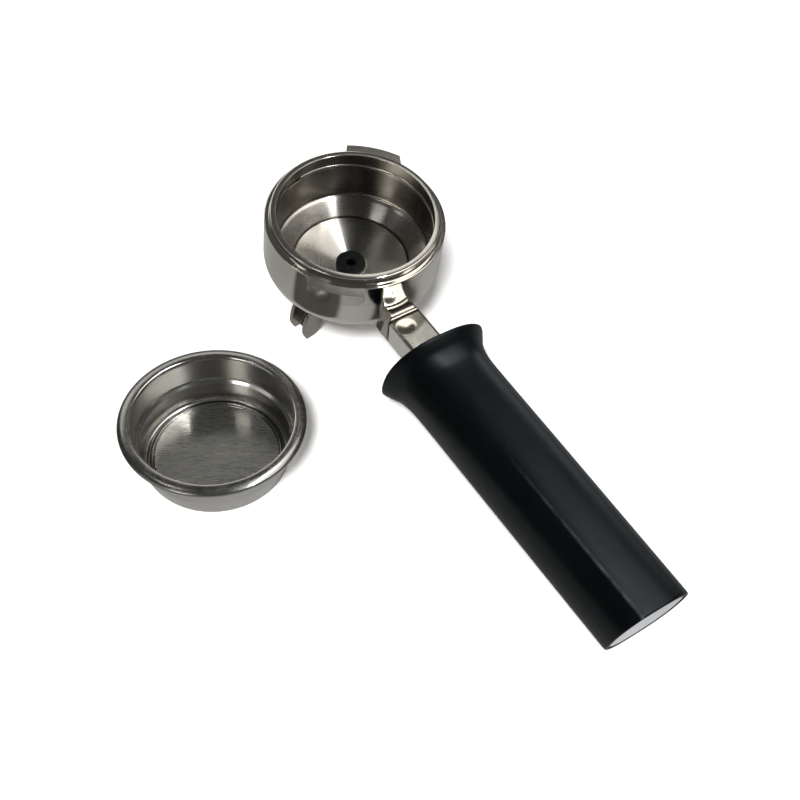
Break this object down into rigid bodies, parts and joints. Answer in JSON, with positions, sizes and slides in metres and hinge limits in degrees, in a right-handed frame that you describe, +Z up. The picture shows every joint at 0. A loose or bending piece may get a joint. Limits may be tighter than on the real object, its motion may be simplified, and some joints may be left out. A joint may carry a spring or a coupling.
{
  "type": "portafilter with filter basket",
  "caption": "Espresso portafilter with locking ears, twin open spout and slanted black handle; a shallow perforated filter basket stands beside it.",
  "frame": {"origin": "centre of the whole part's footprint, on the surface it stands on", "axes": "+X from the cup to the end of the handle, +Y away from the loose basket, +Z up"},
  "size_m": [0.2198, 0.1504, 0.0591],
  "materials": {
    "polished_steel": "polished, lightly worn",
    "bar_steel": "fine satin",
    "pressed_steel": "drawn sheet, faint circular marks",
    "spring_steel": "bright wire",
    "fastener_steel": "plain stainless",
    "satin_silver": "satin",
    "black_rubber": "smooth black",
    "black_plastic": "moulded, semi-matt, lightly scuffed",
    "grey_nylon": "moulded",
    "fibre": "pressed fibre"
  },
  "bodies": {
    "portafilter": {"head_body": "polished_steel", "basket_spring": "spring_steel", "spout_nipple": "fastener_steel", "spout_washer": "fibre", "spout_lock_nut": "fastener_steel", "spout_body": "polished_steel", "neck_bar": "bar_steel", "neck_pin": "fastener_steel", "handle_stud": "fastener_steel", "mouth_bush": "black_plastic", "handle_core": "grey_nylon", "handle_grip": "black_plastic", "stud_washer": "fastener_steel", "stud_spring_washer": "fastener_steel", "stud_nut": "fastener_steel", "end_cap_carrier": "black_plastic", "end_cap_screw": "fastener_steel", "end_plate": "satin_silver"},
    "plug": {"outlet_plug": "black_rubber"},
    "basket": {"filter_basket": "pressed_steel"}
  },
  "joints": [
    {"name": "plug_pull", "type": "slide", "parent": "portafilter", "child": "plug", "axis": [0.1239, 0, 0.9923], "range_m": [0, 0.03]},
    {"name": "basket_lift", "type": "slide", "parent": "portafilter", "child": "basket", "axis": [0, 0, 1], "range_m": [0, 0.1]}
  ]
}
